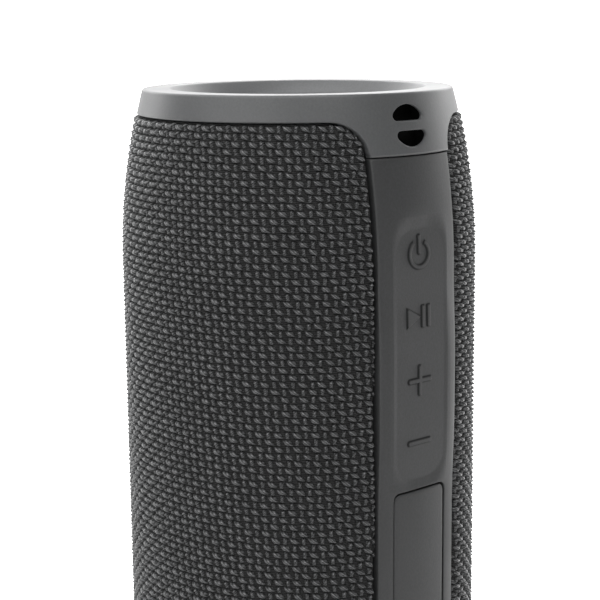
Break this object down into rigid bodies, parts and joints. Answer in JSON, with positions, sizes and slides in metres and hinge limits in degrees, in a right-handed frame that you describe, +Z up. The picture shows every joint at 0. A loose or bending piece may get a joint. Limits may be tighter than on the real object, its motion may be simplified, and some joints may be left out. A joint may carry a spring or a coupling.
{
  "type": "portable speaker",
  "caption": "Cylindrical fabric-covered portable speaker with a rubber keypad, hinged port cover, drivers and a passive radiator at each end.",
  "frame": {"origin": "centre of the face it stands on, at the bottom ring's flat end", "axes": "+Z up along the barrel, +X out of the control panel, -Y the way the drivers face"},
  "size_m": [0.0742, 0.074, 0.19],
  "materials": {
    "ring_plastic": "satin soft-touch, fine grain",
    "panel_plastic": "satin soft-touch, fine grain",
    "keypad_rubber": "matt silicone",
    "cover_rubber": "matt rubber",
    "woven_fabric": "heavy woven polyester",
    "cage_plastic": "matt moulded",
    "core_plastic": "moulded, fine texture",
    "seal_rubber": "matt",
    "screw_steel": "black-zinc plated",
    "radiator_metal": "turned and anodised dark grey",
    "radiator_rubber": "matt",
    "frame_plastic": "moulded",
    "basket_steel": "black powder coat",
    "magnet_steel": "zinc plated",
    "cone_plastic": "pressed pulp and polymer",
    "spider_cloth": "resin-dipped cloth",
    "gasket_foam": "closed-cell foam",
    "cell_wrap": "heat-shrink sleeve",
    "holder_plastic": "moulded",
    "circuit_board": "solder mask",
    "component_body": "moulded packages",
    "socket_steel": "nickel plated",
    "jack_plastic": "black moulded",
    "ribbon_film": "polyimide film",
    "wire_insulation": "soft insulation"
  },
  "bodies": {
    "enclosure": {"top_ring": "ring_plastic", "bottom_ring": "ring_plastic", "fabric_sleeve": "woven_fabric", "grille_cage": "cage_plastic", "control_panel": "panel_plastic", "keypad_mat": "keypad_rubber", "tact_switches": "component_body", "button_board": "circuit_board", "keypad_ribbon": "ribbon_film", "port_gasket": "seal_rubber", "port_tray": "core_plastic", "usb_c_socket": "socket_steel", "aux_jack": "jack_plastic", "memory_card_slot": "socket_steel", "usb_a_socket": "socket_steel", "core_front_shell": "core_plastic", "core_rear_shell": "core_plastic", "case_screws": "screw_steel", "board_screws": "screw_steel", "driver_screws": "screw_steel", "cap_screws": "screw_steel", "radiator_screws": "screw_steel", "top_end_cap": "core_plastic", "top_cap_seal": "seal_rubber", "bottom_end_cap": "core_plastic", "bottom_cap_seal": "seal_rubber", "top_radiator_frame": "frame_plastic", "top_radiator_surround": "radiator_rubber", "bottom_radiator_frame": "frame_plastic", "bottom_radiator_surround": "radiator_rubber", "upper_driver_basket": "basket_steel", "upper_driver_magnet": "magnet_steel", "upper_driver_surround": "radiator_rubber", "upper_driver_spider": "spider_cloth", "lower_driver_basket": "basket_steel", "lower_driver_magnet": "magnet_steel", "lower_driver_surround": "radiator_rubber", "lower_driver_spider": "spider_cloth", "driver_gaskets": "gasket_foam", "main_board": "circuit_board", "board_components": "component_body", "battery_cell_a": "cell_wrap", "battery_cell_b": "cell_wrap", "battery_holder": "holder_plastic", "protection_board": "circuit_board", "battery_lead": "wire_insulation", "speaker_leads": "wire_insulation"},
    "power_key": {"power_button": "keypad_rubber", "power_switch_plunger": "jack_plastic"},
    "play_pause_key": {"play_pause_button": "keypad_rubber", "play_pause_switch_plunger": "jack_plastic"},
    "volume_up_key": {"volume_up_button": "keypad_rubber", "volume_up_switch_plunger": "jack_plastic"},
    "volume_down_key": {"volume_down_button": "keypad_rubber", "volume_down_switch_plunger": "jack_plastic"},
    "port_flap": {"port_cover": "cover_rubber"},
    "top_radiator": {"top_radiator_plate": "radiator_metal"},
    "bottom_radiator": {"bottom_radiator_plate": "radiator_metal"},
    "upper_cone": {"upper_driver_cone": "cone_plastic"},
    "lower_cone": {"lower_driver_cone": "cone_plastic"}
  },
  "joints": [
    {"name": "power_press", "type": "slide", "parent": "enclosure", "child": "power_key", "axis": [-1, 0, 0], "range_m": [0, 0.0004], "stiffness_N_per_m": 4000},
    {"name": "play_pause_press", "type": "slide", "parent": "enclosure", "child": "play_pause_key", "axis": [-1, 0, 0], "range_m": [0, 0.0004], "stiffness_N_per_m": 4000},
    {"name": "volume_up_press", "type": "slide", "parent": "enclosure", "child": "volume_up_key", "axis": [-1, 0, 0], "range_m": [0, 0.0004], "stiffness_N_per_m": 4000},
    {"name": "volume_down_press", "type": "slide", "parent": "enclosure", "child": "volume_down_key", "axis": [-1, 0, 0], "range_m": [0, 0.0004], "stiffness_N_per_m": 4000},
    {"name": "port_cover_hinge", "type": "hinge", "parent": "enclosure", "child": "port_flap", "pos_m": [0.03577, -0.00675, 0.08], "axis": [0, 0, -1], "range_deg": [0, 100]},
    {"name": "top_radiator_travel", "type": "slide", "parent": "enclosure", "child": "top_radiator", "axis": [0, 0, 1], "range_m": [-0.0025, 0.0025], "stiffness_N_per_m": 3000, "deforming": ["top_radiator_surround"]},
    {"name": "bottom_radiator_travel", "type": "slide", "parent": "enclosure", "child": "bottom_radiator", "axis": [0, 0, -1], "range_m": [-0.0025, 0.0025], "stiffness_N_per_m": 3000, "deforming": ["bottom_radiator_surround"]},
    {"name": "upper_cone_travel", "type": "slide", "parent": "enclosure", "child": "upper_cone", "axis": [0, -1, 0], "range_m": [-0.0015, 0.0015], "stiffness_N_per_m": 2000, "deforming": ["upper_driver_surround", "upper_driver_spider"]},
    {"name": "lower_cone_travel", "type": "slide", "parent": "enclosure", "child": "lower_cone", "axis": [0, -1, 0], "range_m": [-0.0015, 0.0015], "stiffness_N_per_m": 2000, "deforming": ["lower_driver_surround", "lower_driver_spider"]}
  ]
}
